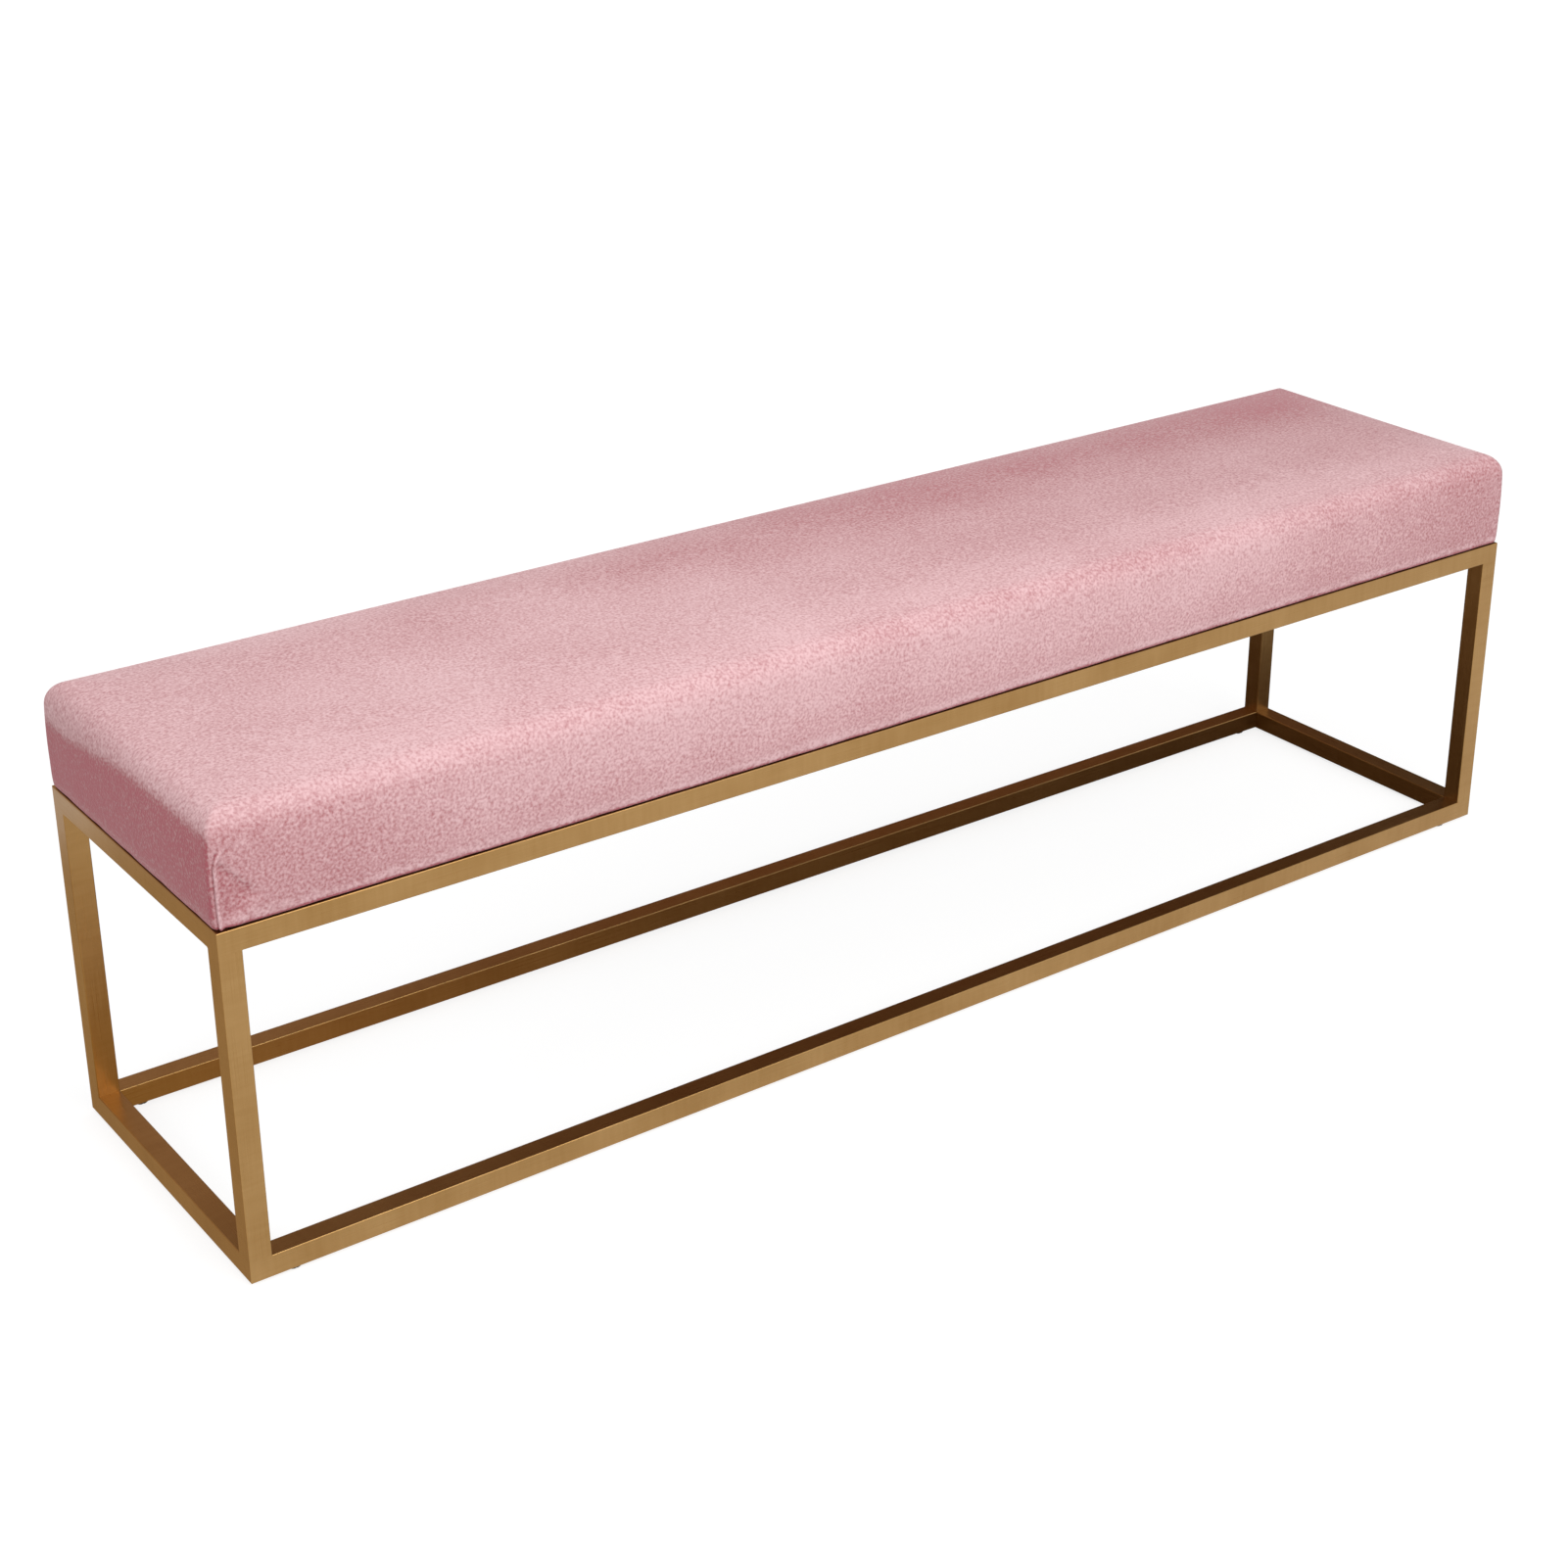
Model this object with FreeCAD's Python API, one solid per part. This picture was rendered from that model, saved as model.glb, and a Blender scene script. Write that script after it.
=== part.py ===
import FreeCAD, Part
import math
import os

os.makedirs("parts", exist_ok=True)

# Upholstered bench: a padded seat screwed to a welded frame of square steel tube.
# Millimetres. X runs along the bench, the front is towards -Y and Z is up.
# The origin is on the floor under the middle of the bench.

# Frame
bench_length = 1600.0
bench_depth = 360.0
frame_height = 350.0
tube_size = 22.0
tube_wall = 1.5
tube_edge_radius = 1.0

# Cross braces under the seat
brace_count = 3
brace_size = 20.0
brace_wall = 1.5
brace_hole_radius = 3.5
seat_screw_offset = 110.0

# Levelling glides
glide_stand = 3.5
glide_travel = 8.0
glide_pad_radius = 8.0
glide_pad_chamfer = 0.6
glide_grip_count = 8
glide_grip_radius = 1.2
glide_from_end = 45.0
stem_radius = 3.0
stem_left_in = 8.5
stem_socket_depth = 1.2
stem_tip_chamfer = 0.6
insert_body_radius = 4.5
insert_flange_radius = 6.0
insert_flange_height = 0.8
insert_length = 11.0
insert_collar_radius = 5.6
insert_collar_height = 3.0

# Cushion, from the top of the frame up
dust_cover_thickness = 0.6
dust_cover_margin = 14.0
cover_thickness = 1.2
cover_turn_under = 36.0
cushion_overhang = 2.0
cushion_tuck = 3.5
cushion_tuck_height = 4.0
cushion_side_height = 82.0
cushion_widest_share = 0.5
cushion_shoulder_draw = 1.0
cushion_shoulder_radius = 25.0
cushion_corner_radius = 9.0
cushion_side_bow = 1.5
cushion_crown = 4.0
cushion_crown_run = 110.0
shoulder_steps = 4
crown_steps = 4
wadding_thickness = 5.0
soft_clearance = 0.3
board_thickness = 15.0

# Seat screws, washers and T-nuts
screw_radius = 3.0
screw_head_radius = 5.25
screw_head_height = 3.3
screw_socket_width = 4.0
screw_socket_depth = 2.0
screw_end_gap = 4.2
washer_radius = 6.0
washer_thickness = 1.6
nut_barrel_radius = 4.0
nut_barrel_length = 9.0
nut_flange_radius = 10.0
nut_flange_thickness = 1.5
nut_prong_count = 4
nut_prong_length = 6.0
nut_prong_width = 3.0
nut_prong_thickness = 1.0
nut_prong_circle = 8.5

# Staples
staple_crown = 10.0
staple_leg = 9.0
staple_wire = 0.8
cover_staple_pitch = 70.0
cover_staple_inset = 24.0
dust_staple_pitch = 140.0
dust_staple_inset = 30.0
dust_staple_brace_gap = 4.0

# Clearances
thread_clearance = 0.05
hole_clearance = 0.1
flange_gap = 0.2

# Heights and places worked out from the sizes above
frame_bottom = glide_stand
frame_top = frame_bottom + frame_height
lower_ring_top = frame_bottom + tube_size
upper_ring_bottom = frame_top - tube_size
half_length = bench_length / 2
half_depth = bench_depth / 2
tube_middle = tube_size / 2
insert_bottom = frame_bottom - insert_flange_height
glide_pad_height = insert_bottom - flange_gap
stem_bottom = glide_pad_height - stem_socket_depth
stem_top = insert_bottom + stem_left_in + glide_travel
dust_cover_top = frame_top + dust_cover_thickness
cushion_bottom = dust_cover_top + staple_wire
board_bottom = cushion_bottom + cover_thickness
board_top = board_bottom + board_thickness
wadding_outer_inset = cover_thickness + soft_clearance
wadding_inner_inset = wadding_outer_inset + wadding_thickness
foam_inset = wadding_inner_inset + soft_clearance
brace_bottom = frame_top - brace_size
seat_screw_top = board_top - screw_end_gap
screw_head_top = brace_bottom - washer_thickness

LEFT = -1
RIGHT = 1
FRONT = -1
BACK = 1
END_NAMES = {LEFT: "left", RIGHT: "right"}
SIDE_NAMES = {FRONT: "front", BACK: "back"}
CORNERS = [(end, side) for side in (FRONT, BACK) for end in (LEFT, RIGHT)]


def point(x, y, z):
    return FreeCAD.Vector(x, y, z)


def block(x_range, y_range, z_range):
    low = [min(x_range), min(y_range), min(z_range)]
    high = [max(x_range), max(y_range), max(z_range)]
    sizes = [high[axis] - low[axis] for axis in range(3)]
    return Part.makeBox(*sizes, point(*low))


def rod(radius, x, y, z_low, z_high):
    return Part.makeCylinder(radius, z_high - z_low, point(x, y, z_low))


def prism(outline, z_low, z_high):
    corners = [point(x, y, z_low) for x, y in outline]
    face = Part.Face(Part.makePolygon(corners + corners[:1]))
    return face.extrude(point(0, 0, z_high - z_low))


def save(shape, node):
    shape.exportStep("parts/" + node + ".step")


# Welded frame

def edge_scrap(along, start, end, inward):
    """What a file takes off one long edge of a tube: the corner outside the edge radius.

    along is the axis that the edge runs on, start and end are the ends of the edge,
    and inward holds the directions from the edge into the metal on the other two axes.
    """
    r = tube_edge_radius
    ranges = []
    centre = []
    for axis in range(3):
        if axis == along:
            ranges.append((start[axis], end[axis]))
            centre.append(start[axis])
        else:
            ranges.append((start[axis] - r, start[axis] + r))
            centre.append(start[axis] + r * inward[axis])
    direction = point(*[1 if axis == along else 0 for axis in range(3)])
    length = end[along] - start[along]
    return block(*ranges).cut(Part.makeCylinder(r, length, point(*centre), direction))


def ring_rail(runs_along, side, z_low, leg_level):
    """One mitred tube of the upper or lower ring.

    runs_along is 0 for a long rail and 1 for a short one. leg_level is the height
    of its face that the legs are welded to. On that face the edges are rounded
    only between the legs, so that rail and leg meet in one flat polished surface.
    """
    z_high = z_low + tube_size
    across = 1 - runs_along
    half_run = (half_length, half_depth)[runs_along]
    outer = side * (half_length, half_depth)[across]
    inner = outer - side * tube_size
    clear_run = half_run - tube_size

    outline = []
    for run, offset in ((-half_run, outer), (half_run, outer), (clear_run, inner), (-clear_run, inner)):
        outline.append((run, offset) if runs_along == 0 else (offset, run))
    tube = prism(outline, z_low, z_high)

    hollow_across = (outer - side * tube_wall, inner + side * tube_wall)
    hollow_run = (-half_run, half_run)
    hollow_z = (z_low + tube_wall, z_high - tube_wall)
    if runs_along == 0:
        tube = tube.cut(block(hollow_run, hollow_across, hollow_z))
    else:
        tube = tube.cut(block(hollow_across, hollow_run, hollow_z))

    scraps = []
    for z, up in ((z_low, 1), (z_high, -1)):
        at_leg = abs(z - leg_level) < tube_wall
        for offset, into in ((outer, -side), (inner, side)):
            if at_leg:
                run = clear_run
            elif offset == outer:
                run = half_run
            else:
                run = clear_run + tube_edge_radius
            start = [0, 0, z]
            start[runs_along] = -run
            start[across] = offset
            end = list(start)
            end[runs_along] = run
            inward = [0, 0, up]
            inward[across] = into
            scraps.append(edge_scrap(runs_along, start, end, inward))
    for run_end in (-1, 1):
        start = [0, 0, z_low]
        start[runs_along] = run_end * half_run
        start[across] = outer
        end = [start[0], start[1], z_high]
        inward = [0, 0, 0]
        inward[runs_along] = -run_end
        inward[across] = -side
        scraps.append(edge_scrap(2, start, end, inward))
    for scrap in scraps:
        tube = tube.cut(scrap)
    return tube


def leg(end, side):
    """A tube cut square, standing on the lower ring with the upper ring on top of it."""
    outer_x = end * half_length
    outer_y = side * half_depth
    inner_x = outer_x - end * tube_size
    inner_y = outer_y - side * tube_size
    tube = block((outer_x, inner_x), (outer_y, inner_y), (lower_ring_top, upper_ring_bottom))
    upright = [edge for edge in tube.Edges if abs(edge.tangentAt(0).z) > 0.5]
    tube = tube.makeFillet(tube_edge_radius, upright)
    hollow = block(
        (outer_x - end * tube_wall, inner_x + end * tube_wall),
        (outer_y - side * tube_wall, inner_y + side * tube_wall),
        (lower_ring_top, upper_ring_bottom),
    )
    return tube.cut(hollow)


# The glides are under the long lower rails, near each corner of the frame
glide_places = {}
for end, side in CORNERS:
    glide_x = end * (half_length - glide_from_end)
    glide_y = side * (half_depth - tube_middle)
    glide_places[(end, side)] = (glide_x, glide_y)

for side in (FRONT, BACK):
    save(ring_rail(0, side, upper_ring_bottom, upper_ring_bottom), "top_rail_" + SIDE_NAMES[side])
    lower_rail = ring_rail(0, side, frame_bottom, lower_ring_top)
    for end in (LEFT, RIGHT):
        x, y = glide_places[(end, side)]
        hole = rod(insert_body_radius + hole_clearance, x, y, frame_bottom, frame_bottom + tube_wall)
        lower_rail = lower_rail.cut(hole)
    save(lower_rail, "bottom_rail_" + SIDE_NAMES[side])

for end in (LEFT, RIGHT):
    save(ring_rail(1, end, upper_ring_bottom, upper_ring_bottom), "top_rail_" + END_NAMES[end])
    save(ring_rail(1, end, frame_bottom, lower_ring_top), "bottom_rail_" + END_NAMES[end])

for end, side in CORNERS:
    save(leg(end, side), "leg_" + SIDE_NAMES[side] + "_" + END_NAMES[end])


# Cross braces, flush with the top of the upper ring

brace_pitch = (bench_length - 2 * tube_size) / (brace_count + 1)
brace_places = [(i - (brace_count - 1) / 2) * brace_pitch for i in range(brace_count)]
screw_places = [(x, y) for x in brace_places for y in (-seat_screw_offset, seat_screw_offset)]


def brace(x):
    half_size = brace_size / 2
    half_span = half_depth - tube_size
    span = (-half_span, half_span)
    tube = block((x - half_size, x + half_size), span, (brace_bottom, frame_top))
    long_edges = [edge for edge in tube.Edges if abs(edge.tangentAt(0).y) > 0.5]
    tube = tube.makeFillet(tube_edge_radius, long_edges)
    half_hollow = half_size - brace_wall
    hollow_z = (brace_bottom + brace_wall, frame_top - brace_wall)
    tube = tube.cut(block((x - half_hollow, x + half_hollow), span, hollow_z))
    for screw_x, screw_y in screw_places:
        if screw_x == x:
            tube = tube.cut(rod(brace_hole_radius, x, screw_y, brace_bottom, frame_top))
    return tube


for name, x in zip(("left", "middle", "right"), brace_places):
    save(brace(x), "cross_brace_" + name)


# Levelling glides: a nylon pad on a threaded stem, in a threaded insert in the rail

def threaded_insert(x, y):
    wall_top = frame_bottom + tube_wall
    insert_top = insert_bottom + insert_length
    body = rod(insert_body_radius, x, y, insert_bottom, insert_top)
    flange = rod(insert_flange_radius, x, y, insert_bottom, frame_bottom)
    collar = rod(insert_collar_radius, x, y, wall_top, wall_top + insert_collar_height)
    bore = rod(stem_radius + thread_clearance, x, y, insert_bottom, insert_top)
    return body.fuse(flange).fuse(collar).cut(bore).removeSplitter()


def glide_pad(x, y):
    pad = rod(glide_pad_radius, x, y, 0, glide_pad_height)
    rims = [edge for edge in pad.Edges if edge.Curve.TypeId == "Part::GeomCircle"]
    pad = pad.makeChamfer(glide_pad_chamfer, rims)
    for number in range(glide_grip_count):
        angle = 2 * math.pi * number / glide_grip_count
        grip_x = x + glide_pad_radius * math.cos(angle)
        grip_y = y + glide_pad_radius * math.sin(angle)
        pad = pad.cut(rod(glide_grip_radius, grip_x, grip_y, 0, glide_pad_height))
    return pad.cut(rod(stem_radius + thread_clearance, x, y, stem_bottom, glide_pad_height))


def glide_stem(x, y):
    stem = rod(stem_radius, x, y, stem_bottom, stem_top)
    tip = [edge for edge in stem.Edges if edge.BoundBox.ZMin > stem_top - stem_tip_chamfer]
    return stem.makeChamfer(stem_tip_chamfer, tip)


inserts = []
for (end, side), (x, y) in glide_places.items():
    corner = SIDE_NAMES[side] + "_" + END_NAMES[end]
    inserts.append(threaded_insert(x, y))
    save(glide_pad(x, y), "glide_pad_" + corner)
    save(glide_stem(x, y), "glide_stem_" + corner)
save(Part.makeCompound(inserts), "glide_inserts")


# Cushion: one padded form, and smaller ones inside it for each layer

def plan_wire(inset, z):
    """The cushion's outline at one height: four slightly bowed sides and four round corners."""
    half_x = half_length + cushion_overhang - inset
    half_y = half_depth + cushion_overhang - inset
    radius = max(cushion_corner_radius - inset / 3, cushion_corner_radius / 3)
    bow = cushion_side_bow
    diagonal = radius * (1 - math.cos(math.radians(45)))
    edges = []
    for turn in range(4):
        run, reach = ((half_x, half_y), (half_y, half_x))[turn % 2]
        angle = 90 * turn
        side_start = point(-run + bow + radius, -reach + bow, z)
        side_middle = point(0, -reach, z)
        side_end = point(run - bow - radius, -reach + bow, z)
        corner_middle = point(run - bow - diagonal, -reach + bow + diagonal, z)
        corner_end = point(run - bow, -reach + bow + radius, z)
        for three in ((side_start, side_middle, side_end), (side_end, corner_middle, corner_end)):
            arc = Part.Arc(*three).toShape()
            arc.rotate(point(0, 0, 0), point(0, 0, 1), angle)
            edges.append(arc)
    return Part.Wire(edges)


def cushion_form(inset, bottom):
    """The padded form, moved inwards by inset at the sides and on top, and cut off flat at bottom."""
    side_top = cushion_bottom + cushion_side_height
    widest = cushion_bottom + cushion_side_height * cushion_widest_share
    levels = [
        (cushion_bottom, cushion_overhang + cushion_tuck + inset),
        (cushion_bottom + cushion_tuck_height, cushion_overhang + inset),
        (widest, inset),
    ]
    crown_slope = math.atan(2 * cushion_crown / cushion_crown_run)
    shoulder_turn = math.pi / 2 - crown_slope
    radius = cushion_shoulder_radius - inset
    for step in range(shoulder_steps + 1):
        angle = shoulder_turn * step / shoulder_steps
        drawn_in = cushion_shoulder_draw + inset + radius * (1 - math.cos(angle))
        levels.append((side_top + radius * math.sin(angle), drawn_in))
    shoulder_z, shoulder_inset = levels[-1]
    for step in range(1, crown_steps + 1):
        share = step / crown_steps
        rise = cushion_crown * (1 - (1 - share) ** 2)
        levels.append((shoulder_z + rise, shoulder_inset + cushion_crown_run * share))
    form = Part.makeLoft([plan_wire(plan_inset, z) for z, plan_inset in levels], True, True)
    if bottom > cushion_bottom:
        reach_x = half_length + cushion_overhang
        reach_y = half_depth + cushion_overhang
        form = form.cut(block((-reach_x, reach_x), (-reach_y, reach_y), (cushion_bottom, bottom)))
    return form


def rounded_slab(half_x, half_y, radius, z_low, z_high):
    slab = block((-half_x, half_x), (-half_y, half_y), (z_low, z_high))
    upright = [edge for edge in slab.Edges if abs(edge.tangentAt(0).z) > 0.5]
    return slab.makeFillet(radius, upright)


tuck_at_board = cushion_tuck * (1 - cover_thickness / cushion_tuck_height)
board_inset = tuck_at_board + foam_inset + cushion_side_bow
board_half_x = half_length - board_inset
board_half_y = half_depth - board_inset
opening_half_x = half_length - cushion_tuck - cover_turn_under
opening_half_y = half_depth - cushion_tuck - cover_turn_under
opening = block(
    (-opening_half_x, opening_half_x),
    (-opening_half_y, opening_half_y),
    (cushion_bottom, board_bottom),
)

# Velvet cover, turned under the board with an open middle
cover = cushion_form(0, cushion_bottom).cut(cushion_form(cover_thickness, board_bottom)).cut(opening)
save(cover, "velvet_cover")

# Polyester wadding over the foam and down the board's edges
wadding = cushion_form(wadding_outer_inset, board_bottom).cut(
    cushion_form(wadding_inner_inset, board_bottom)
)
save(wadding, "wadding_wrap")

# Foam block on the board
foam = cushion_form(foam_inset, board_top)
save(foam, "foam_core")

# Plywood board, drilled and counterbored for the T-nuts
board = rounded_slab(board_half_x, board_half_y, cushion_corner_radius, board_bottom, board_top)
for x, y in screw_places:
    board = board.cut(rod(nut_barrel_radius + hole_clearance, x, y, board_bottom, board_top))
    flange_seat = rod(nut_flange_radius + hole_clearance, x, y, board_top - nut_flange_thickness, board_top)
    board = board.cut(flange_seat)
save(board, "seat_board")

# Dust cover, a sheet between the turned-under velvet and the frame
sheet_half_x = half_length - dust_cover_margin
sheet_half_y = half_depth - dust_cover_margin
dust_cover = block((-sheet_half_x, sheet_half_x), (-sheet_half_y, sheet_half_y), (frame_top, dust_cover_top))
for x, y in screw_places:
    dust_cover = dust_cover.cut(rod(brace_hole_radius, x, y, frame_top, dust_cover_top))
save(dust_cover, "dust_cover")


# Seat screws, washers and T-nuts

def seat_screw(x, y):
    shank = rod(screw_radius, x, y, screw_head_top, seat_screw_top)
    head = rod(screw_head_radius, x, y, screw_head_top - screw_head_height, screw_head_top)
    low_rim = [edge for edge in head.Edges if edge.BoundBox.ZMax < screw_head_top - screw_head_height / 2]
    rim = [edge for edge in low_rim if edge.Curve.TypeId == "Part::GeomCircle"]
    head = head.makeFillet(screw_head_height / 2, rim)
    socket_reach = screw_socket_width / 2 / math.cos(math.radians(30))
    hexagon = []
    for number in range(6):
        angle = math.radians(60 * number)
        hexagon.append((x + socket_reach * math.cos(angle), y + socket_reach * math.sin(angle)))
    head_bottom = screw_head_top - screw_head_height
    return shank.fuse(head).cut(prism(hexagon, head_bottom, head_bottom + screw_socket_depth))


def seat_washer(x, y):
    disc = rod(washer_radius, x, y, screw_head_top, brace_bottom)
    return disc.cut(rod(screw_radius + hole_clearance, x, y, screw_head_top, brace_bottom))


def pronged_nut(x, y):
    flange_bottom = board_top - nut_flange_thickness
    barrel = rod(nut_barrel_radius, x, y, flange_bottom - nut_barrel_length, board_top)
    nut = barrel.fuse(rod(nut_flange_radius, x, y, flange_bottom, board_top))
    for number in range(nut_prong_count):
        half_width = nut_prong_width / 2
        prong = block(
            (nut_prong_circle - nut_prong_thickness, nut_prong_circle),
            (-half_width, half_width),
            (flange_bottom - nut_prong_length, flange_bottom),
        )
        prong.rotate(point(0, 0, 0), point(0, 0, 1), 360 * number / nut_prong_count)
        prong.translate(point(x, y, 0))
        nut = nut.fuse(prong)
    bore = rod(screw_radius + thread_clearance, x, y, flange_bottom - nut_barrel_length, board_top)
    return nut.cut(bore).removeSplitter()


save(Part.makeCompound([seat_screw(x, y) for x, y in screw_places]), "seat_screws")
save(Part.makeCompound([seat_washer(x, y) for x, y in screw_places]), "seat_washers")
save(Part.makeCompound([pronged_nut(x, y) for x, y in screw_places]), "seat_t_nuts")


# Staples, driven up into the board through the fabric

def staple(x, y, crown_low, runs_along_x):
    half_crown = staple_crown / 2
    half_wire = staple_wire / 2
    crown_high = crown_low + staple_wire
    wire = block((-half_crown, half_crown), (-half_wire, half_wire), (crown_low, crown_high))
    for end in (LEFT, RIGHT):
        outer = end * half_crown
        inner = outer - end * staple_wire
        leg_run = (crown_low, crown_low + staple_leg)
        wire = wire.fuse(block((outer, inner), (-half_wire, half_wire), leg_run))
    wire = wire.removeSplitter()
    if not runs_along_x:
        wire.rotate(point(0, 0, 0), point(0, 0, 1), 90)
    wire.translate(point(x, y, 0))
    return wire


def staple_row(inset, pitch, crown_low):
    """Staples all round the seat, evenly spaced along the four sides of a smaller rectangle."""
    staples = []
    half_x = half_length - inset
    half_y = half_depth - inset
    along_x = round(2 * half_x / pitch)
    along_y = round(2 * half_y / pitch)
    for number in range(along_x):
        x = -half_x + 2 * half_x * (number + 0.5) / along_x
        for side in (FRONT, BACK):
            staples.append(staple(x, side * half_y, crown_low, True))
    for number in range(along_y):
        y = -half_y + 2 * half_y * (number + 0.5) / along_y
        for end in (LEFT, RIGHT):
            staples.append(staple(end * half_x, y, crown_low, False))
    return staples


# One row holds the velvet and lies under the dust cover, the other holds the dust cover
cover_staples = staple_row(cover_staple_inset, cover_staple_pitch, dust_cover_top)
save(Part.makeCompound(cover_staples), "cover_staples")

clear_of_braces = []
brace_reach = (brace_size + staple_crown) / 2 + dust_staple_brace_gap
for wire in staple_row(dust_staple_inset, dust_staple_pitch, frame_top - staple_wire):
    if all(abs(wire.BoundBox.Center.x - x) > brace_reach for x in brace_places):
        clear_of_braces.append(wire)
save(Part.makeCompound(clear_of_braces), "dust_cover_staples")
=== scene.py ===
import math

import bmesh
import bpy
import numpy as np
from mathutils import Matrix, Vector


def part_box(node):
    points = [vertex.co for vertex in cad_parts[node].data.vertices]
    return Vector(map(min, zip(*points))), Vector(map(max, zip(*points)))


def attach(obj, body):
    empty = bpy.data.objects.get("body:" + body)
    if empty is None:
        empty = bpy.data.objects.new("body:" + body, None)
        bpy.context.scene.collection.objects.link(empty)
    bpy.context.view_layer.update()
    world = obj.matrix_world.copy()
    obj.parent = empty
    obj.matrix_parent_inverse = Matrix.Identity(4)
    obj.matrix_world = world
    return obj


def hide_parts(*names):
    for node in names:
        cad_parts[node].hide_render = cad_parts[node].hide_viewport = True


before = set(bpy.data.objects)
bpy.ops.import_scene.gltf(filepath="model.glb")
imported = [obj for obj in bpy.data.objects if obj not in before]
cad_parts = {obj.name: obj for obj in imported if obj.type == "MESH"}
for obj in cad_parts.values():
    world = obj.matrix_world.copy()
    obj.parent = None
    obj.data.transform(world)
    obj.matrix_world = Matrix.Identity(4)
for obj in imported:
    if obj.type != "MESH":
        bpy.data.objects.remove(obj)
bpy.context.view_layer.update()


# Brass frame
# Four legs and two rings of 22 mm square steel tube, brass plated and brushed. The tubes
# are cut square or mitred, welded face to face, and filed flush before plating.

def linear(hex_colour):
    """A colour written as sRGB hex, turned to the linear values that shaders take."""
    channels = [int(hex_colour[i:i + 2], 16) / 255 for i in (1, 3, 5)]
    return [c / 12.92 if c <= 0.04045 else ((c + 0.055) / 1.055) ** 2.4 for c in channels] + [1.0]


def add_node(tree, kind, inputs=(), **settings):
    """Adds a shader node. An input that is given a socket is linked, any other value is set."""
    node = tree.nodes.new("ShaderNode" + kind)
    for name, value in settings.items():
        setattr(node, name, value)
    for name, value in dict(inputs).items():
        if isinstance(value, bpy.types.NodeSocket):
            tree.links.new(value, node.inputs[name])
        else:
            node.inputs[name].default_value = value
    return node


def new_material(name):
    """An empty material with its node tree, its output and the object's own coordinates."""
    material = bpy.data.materials.new(name)
    material.use_nodes = True
    tree = material.node_tree
    tree.nodes.clear()
    output = add_node(tree, "OutputMaterial")
    place = add_node(tree, "TexCoord").outputs["Object"]
    return material, tree, output, place


def dress(nodes, material):
    """Gives carried-over nodes their finish."""
    for name in nodes:
        for material_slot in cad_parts[name].material_slots:
            material_slot.material = material


GRAIN_WIDTH = 0.0005       # a brushing scratch is finer than this, but wouldn't show
GRAIN_LENGTH = 0.09
GRAIN_DEPTH = 0.00005
CHATTER_SPACING = 0.005    # faint marks that the belt leaves across the tube
CHATTER_WIDTH = 0.05
PLATING_CLOUD = 0.07       # the plate's colour drifts over a few centimetres


def brushed_brass(axis):
    """Brass plate brushed along one axis: satin, with fine streaks and soft belt marks."""
    material, tree, output, place = new_material("brushed_brass_along_" + "xyz"[axis])
    grain_scale = [1 / GRAIN_WIDTH] * 3
    grain_scale[axis] = 1 / GRAIN_LENGTH
    mark_scale = [1 / CHATTER_WIDTH] * 3
    mark_scale[axis] = 1 / CHATTER_SPACING
    grain_place = add_node(tree, "Mapping", {"Vector": place, "Scale": grain_scale})
    mark_place = add_node(tree, "Mapping", {"Vector": place, "Scale": mark_scale})
    grain = add_node(tree, "TexNoise", {"Vector": grain_place.outputs[0], "Scale": 1, "Detail": 3})
    marks = add_node(tree, "TexNoise", {"Vector": mark_place.outputs[0], "Scale": 1, "Detail": 2})
    clouds = add_node(
        tree, "TexNoise", {"Vector": place, "Scale": 1 / PLATING_CLOUD, "Detail": 3}
    )
    plating = add_node(tree, "Mix", {"Factor": 0.3, "A": clouds.outputs[0], "B": marks.outputs[0]})
    shade = add_node(tree, "Mix", {"Factor": 0.35, "A": plating.outputs[0], "B": grain.outputs[0]})
    pale = add_node(
        tree, "MapRange", {"Value": shade.outputs[0], "From Min": 0.32, "From Max": 0.68}
    )
    tone = add_node(
        tree, "Mix",
        {"Factor": pale.outputs[0], "A": linear("#977344"), "B": linear("#A98657")},
        data_type="RGBA",
    )
    streaks = add_node(
        tree, "MapRange",
        {
            "Value": grain.outputs[0], "From Min": 0.3, "From Max": 0.7,
            "To Min": 0.26, "To Max": 0.42,
        },
    )
    relief = add_node(
        tree, "Math", {0: marks.outputs[0], 1: 0.4, 2: grain.outputs[0]}, operation="MULTIPLY_ADD"
    )
    bump = add_node(
        tree, "Bump", {"Height": relief.outputs[0], "Strength": 0.25, "Distance": GRAIN_DEPTH}
    )
    shader = add_node(
        tree, "BsdfPrincipled",
        {
            "Base Color": tone.outputs[2], "Metallic": 1.0, "Roughness": streaks.outputs[0],
            "Normal": bump.outputs[0],
        },
    )
    tree.links.new(shader.outputs[0], output.inputs[0])
    return material


long_rails = [level + "_rail_" + side for level in ("top", "bottom") for side in ("front", "back")]
short_rails = [level + "_rail_" + end for level in ("top", "bottom") for end in ("left", "right")]
corners = [side + "_" + end for side in ("front", "back") for end in ("left", "right")]
dress(long_rails, brushed_brass(0))
dress(short_rails, brushed_brass(1))
dress(["leg_" + corner for corner in corners], brushed_brass(2))


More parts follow.
